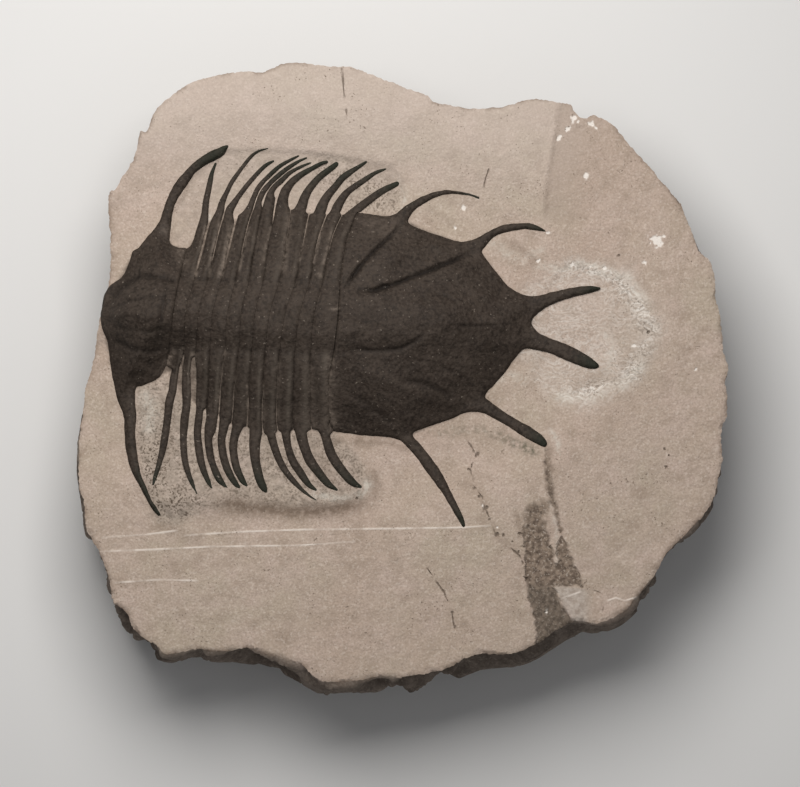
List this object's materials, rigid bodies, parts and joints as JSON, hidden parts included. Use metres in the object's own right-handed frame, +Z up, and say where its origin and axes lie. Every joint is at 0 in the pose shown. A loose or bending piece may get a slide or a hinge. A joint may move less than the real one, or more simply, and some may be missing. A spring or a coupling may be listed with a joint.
{
  "type": "acanthopyge trilobite fossil on limestone matrix",
  "caption": "Spiny lichid trilobite, dark calcite shell in plates, standing in relief on a pale loose limestone slab with a flat underside.",
  "frame": {"origin": "middle of the bounding box, on the flat underside of the matrix", "axes": "+Z up out of the fossil's face, -X the way the head points, +Y the way the trilobite's right side points"},
  "size_m": [0.102, 0.0987, 0.0281],
  "materials": {
    "limestone": "matt, finely granular pale warm grey limestone with thin white veins and a rough broken edge",
    "calcite_shell": "satin dark brown-grey fossil shell, greenish black on the spines, with matrix left in the joints"
  },
  "bodies": {
    "root": {"matrix": "limestone", "cephalon": "calcite_shell", "thoracic_segment_01": "calcite_shell", "thoracic_segment_02": "calcite_shell", "thoracic_segment_03": "calcite_shell", "thoracic_segment_04": "calcite_shell", "thoracic_segment_05": "calcite_shell", "thoracic_segment_06": "calcite_shell", "thoracic_segment_07": "calcite_shell", "thoracic_segment_08": "calcite_shell", "thoracic_segment_09": "calcite_shell", "thoracic_segment_10": "calcite_shell", "thoracic_segment_11": "calcite_shell", "pygidium": "calcite_shell"}
  },
  "joints": []
}
